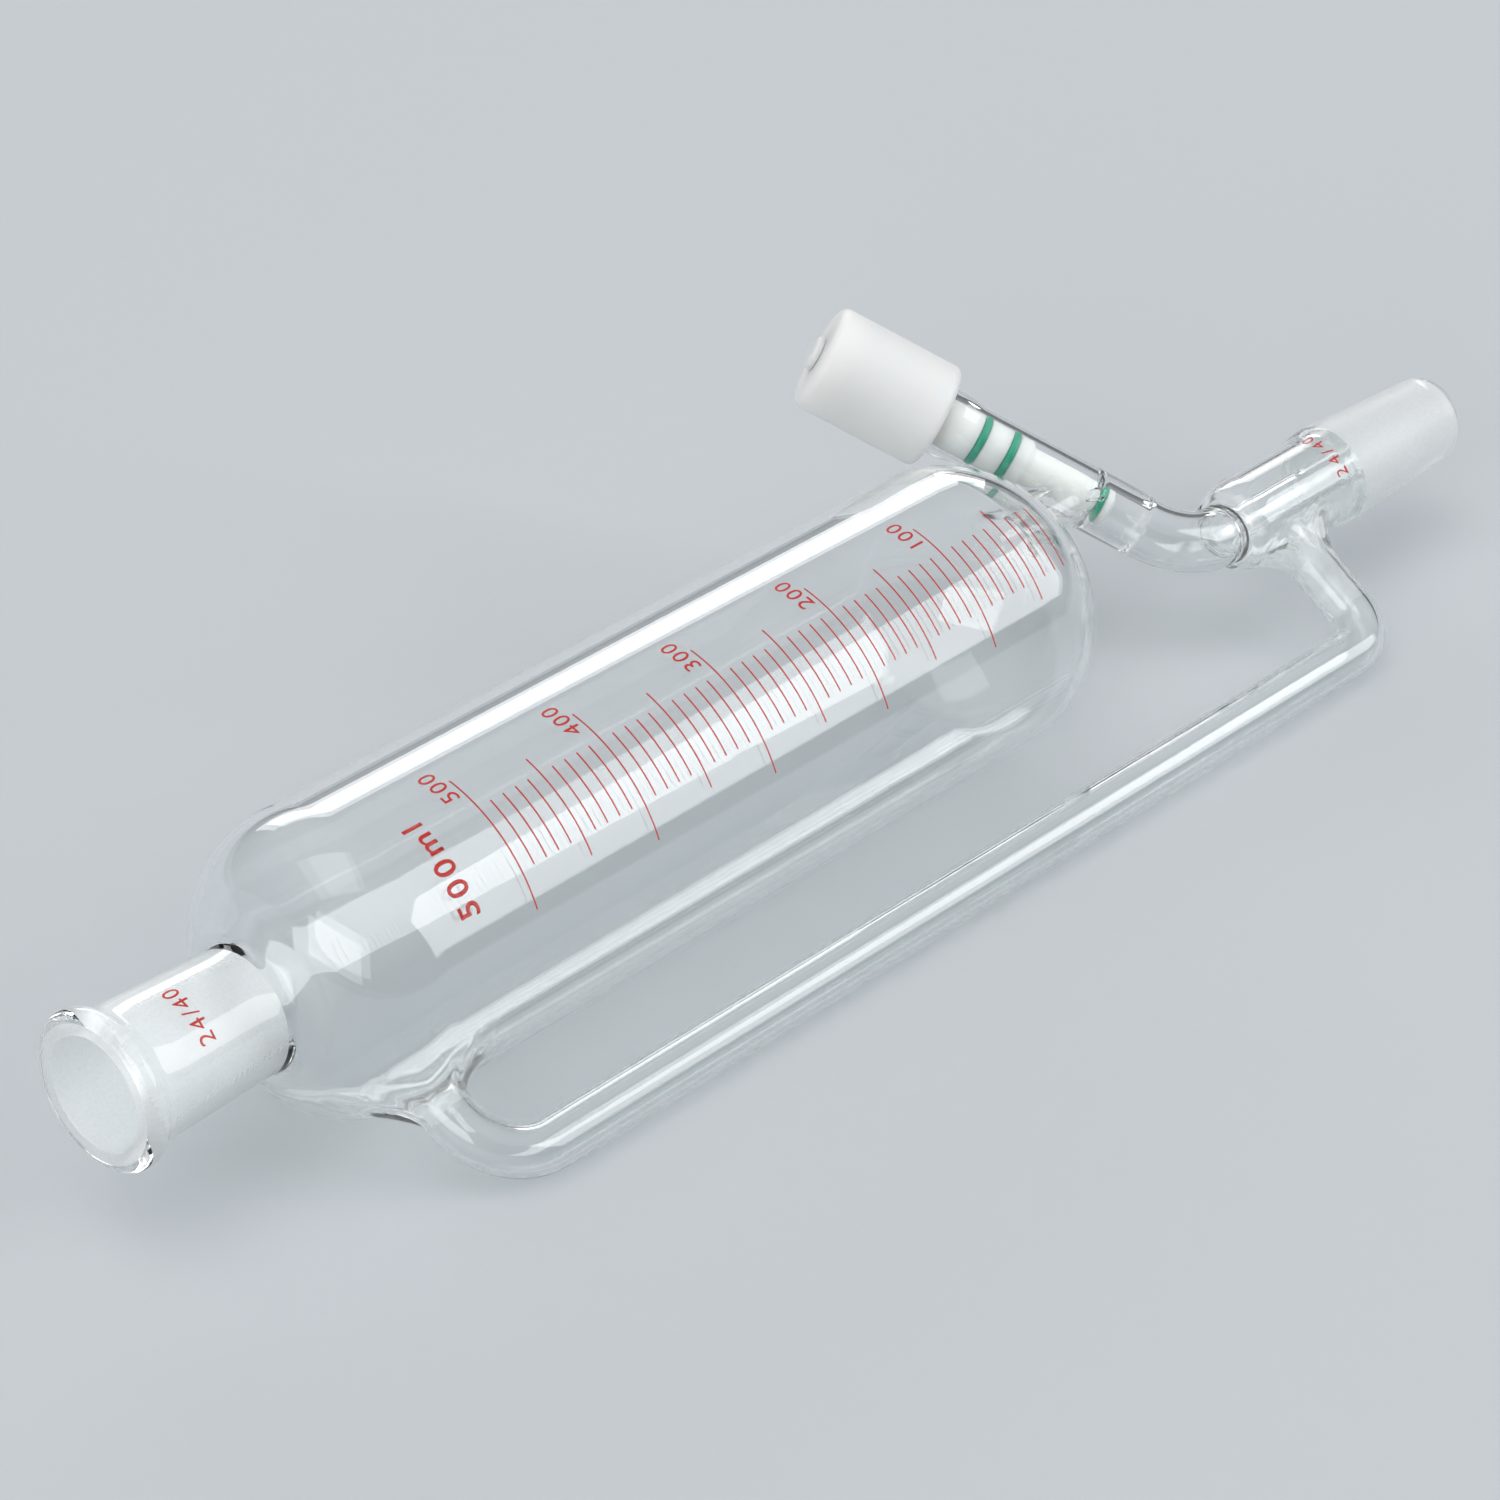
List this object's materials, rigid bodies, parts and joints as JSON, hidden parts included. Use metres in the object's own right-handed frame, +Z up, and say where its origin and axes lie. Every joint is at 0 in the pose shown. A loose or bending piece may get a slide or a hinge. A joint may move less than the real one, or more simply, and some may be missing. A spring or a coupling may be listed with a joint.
{
  "type": "pressure-equalising addition funnel",
  "caption": "Graduated glass addition funnel with ground joints at both ends, a pressure-equalising side arm and a PTFE needle valve, lying on its side.",
  "frame": {"origin": "centre of the bounding box in X and Y, on the surface it lies on", "axes": "+X along the main axis from the ground socket to the ground cone, +Z up as it lies on its reservoir and its side arm, side arm on the -Y side and valve knob on the +Y side"},
  "size_m": [0.4032, 0.1166, 0.0764],
  "materials": {
    "glass_clear": "clear, fire-polished borosilicate",
    "glass_frosted": "ground, frosted borosilicate",
    "ptfe_white": "turned PTFE, waxy white",
    "oring_green": "moulded green rubber",
    "enamel_red": "fired red enamel print"
  },
  "bodies": {
    "glass": {"socket_joint": "glass_frosted", "reservoir": "glass_clear", "outlet_neck": "glass_clear", "valve_barrel": "glass_clear", "outlet_bend": "glass_clear", "drip_tube": "glass_clear", "vapour_chamber": "glass_clear", "cone_joint": "glass_frosted", "equalising_arm": "glass_clear"},
    "stem": {"valve_stem": "ptfe_white", "seat_oring": "oring_green", "barrel_oring_low": "oring_green", "barrel_oring_high": "oring_green", "stem_button": "ptfe_white"},
    "knob": {"valve_knob": "ptfe_white"}
  },
  "joints": [
    {"name": "stem_slide", "type": "slide", "parent": "glass", "child": "stem", "axis": [-0.5195, 0.7377, 0.4312], "range_m": [0, 0.006]},
    {"name": "knob_turn", "type": "hinge", "parent": "stem", "child": "knob", "pos_m": [0.07108, 0.03907, 0.05919], "axis": [-0.5195, 0.7377, 0.4312], "range_deg": [0, 720]}
  ],
  "couplings": [
    {"joint": "stem_slide", "follows": "knob_turn", "m_per_rad": 0.00047746}
  ]
}
